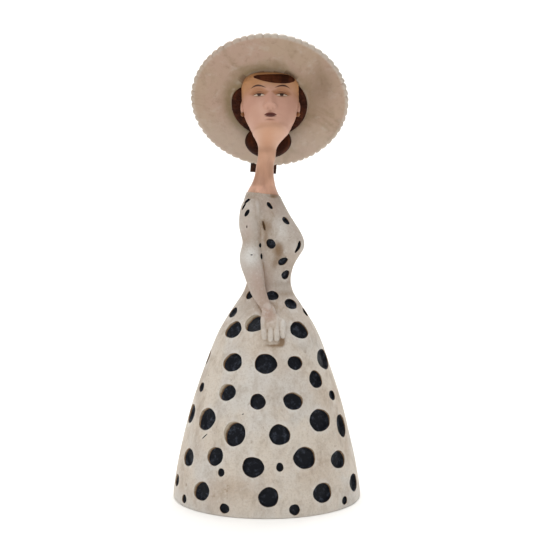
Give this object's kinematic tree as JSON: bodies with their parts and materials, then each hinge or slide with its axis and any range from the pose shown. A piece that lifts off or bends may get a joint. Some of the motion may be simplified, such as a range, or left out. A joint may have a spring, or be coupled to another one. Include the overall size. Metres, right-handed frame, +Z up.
{
  "type": "lady figurine",
  "caption": "Cast resin figurine of a slender lady in a spotted bell dress and a wide tilted sun hat, standing on its flat underside.",
  "frame": {"origin": "centre of the flat underside", "axes": "+Z up, the face looks along -Y, the body is turned towards +X"},
  "size_m": [0.1228, 0.1234, 0.2976],
  "materials": {
    "painted_resin": "satin painted resin"
  },
  "bodies": {
    "root": {"lady_figurine": "painted_resin"}
  },
  "joints": []
}
